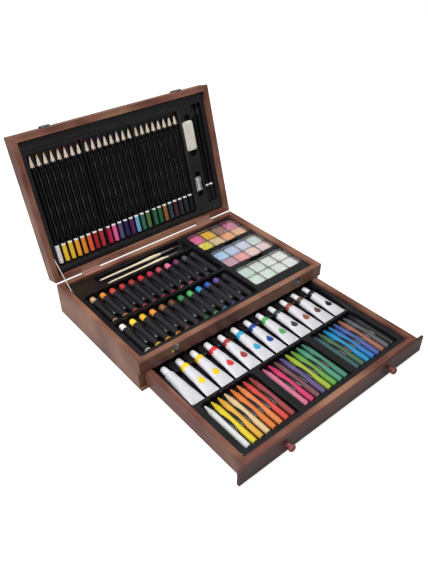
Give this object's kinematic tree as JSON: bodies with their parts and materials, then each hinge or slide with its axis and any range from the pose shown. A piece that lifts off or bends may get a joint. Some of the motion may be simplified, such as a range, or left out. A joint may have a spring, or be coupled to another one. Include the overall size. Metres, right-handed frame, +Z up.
{
  "type": "art supply drawer box",
  "caption": "Wooden case with a hinged lid, a tray base and a pull-out drawer, fitted with formed inserts for pencils, crayons, paint tubes, pastels, palettes and brushes.",
  "frame": {"origin": "middle of the underside of the base, on the surface it stands on", "axes": "+X to the right seen from the drawer's side, +Y from the drawer's side to the hinges, +Z up"},
  "size_m": [0.37, 0.5403, 0.2831],
  "materials": {
    "stained_wood": "satin stain",
    "thin_board": "bare board",
    "black_sheet": "satin",
    "hardware": "nickel plated",
    "sharpener_metal": "brushed",
    "stay": "braided",
    "lacquered_wood": "gloss lacquer",
    "eraser": "matte",
    "wax": "waxy",
    "tube_metal": "gloss enamel",
    "white_plastic": "gloss",
    "black_plastic": "gloss",
    "clear_plastic": "clear",
    "paint": "matte cake",
    "pale_wood": "satin lacquer",
    "ferrule": "bright",
    "hair": "natural hair"
  },
  "bodies": {
    "base": {"base_bottom": "stained_wood", "base_side_left": "stained_wood", "base_side_right": "stained_wood", "base_back": "stained_wood", "base_front_rail": "stained_wood", "tray_floor": "thin_board", "tray_insert": "black_sheet", "hinge_leaves_base": "hardware", "hinge_pins": "hardware", "hinge_screws_base": "hardware", "latch_keepers": "hardware", "keeper_brads": "hardware", "stay_clip_base": "hardware", "stay_cord": "stay", "oil_pastels_front": "wax", "oil_pastels_back": "wax", "palette_cases": "black_plastic", "palette_covers": "clear_plastic", "paint_cakes": "paint", "brush_handles": "pale_wood", "brush_ferrules": "ferrule", "brush_tufts": "hair"},
    "lid": {"lid_front": "stained_wood", "lid_back": "stained_wood", "lid_left": "stained_wood", "lid_right": "stained_wood", "lid_panel": "stained_wood", "lid_insert": "black_sheet", "hinge_leaves_lid": "hardware", "hinge_screws_lid": "hardware", "latch_plates": "hardware", "latch_pins": "hardware", "latch_brads": "hardware", "stay_clip_lid": "hardware", "pencils_left": "lacquered_wood", "pencils_middle": "lacquered_wood", "pencils_right": "lacquered_wood", "sketching_pencils": "lacquered_wood", "eraser": "eraser", "sharpener_body": "sharpener_metal", "sharpener_blade": "hardware", "sharpener_screw": "hardware"},
    "drawer": {"drawer_panel": "stained_wood", "drawer_side_left": "stained_wood", "drawer_side_right": "stained_wood", "drawer_front": "stained_wood", "drawer_back": "stained_wood", "drawer_bottom": "thin_board", "drawer_knobs": "stained_wood", "knob_screws": "hardware", "drawer_insert": "black_sheet", "paint_tubes": "tube_metal", "tube_caps": "white_plastic", "crayons_left": "wax", "crayons_middle": "wax", "crayons_right": "wax"},
    "hasp_left": {"latch_hasp_left": "hardware"},
    "hasp_right": {"latch_hasp_right": "hardware"}
  },
  "joints": [
    {"name": "lid_hinge", "type": "hinge", "parent": "base", "child": "lid", "pos_m": [0, 0.1182, 0.0542], "axis": [1, 0, 0], "range_deg": [0, 106], "deforming": ["stay_cord"]},
    {"name": "drawer_slide", "type": "slide", "parent": "base", "child": "drawer", "axis": [0, 1, 0], "range_m": [0, 0.205]},
    {"name": "hasp_left_pivot", "type": "hinge", "parent": "lid", "child": "hasp_left", "pos_m": [-0.124, 0.1888, 0.28155], "axis": [1, 0, 0], "range_deg": [0, 176]},
    {"name": "hasp_right_pivot", "type": "hinge", "parent": "lid", "child": "hasp_right", "pos_m": [0.124, 0.1888, 0.28155], "axis": [1, 0, 0], "range_deg": [0, 176]}
  ]
}
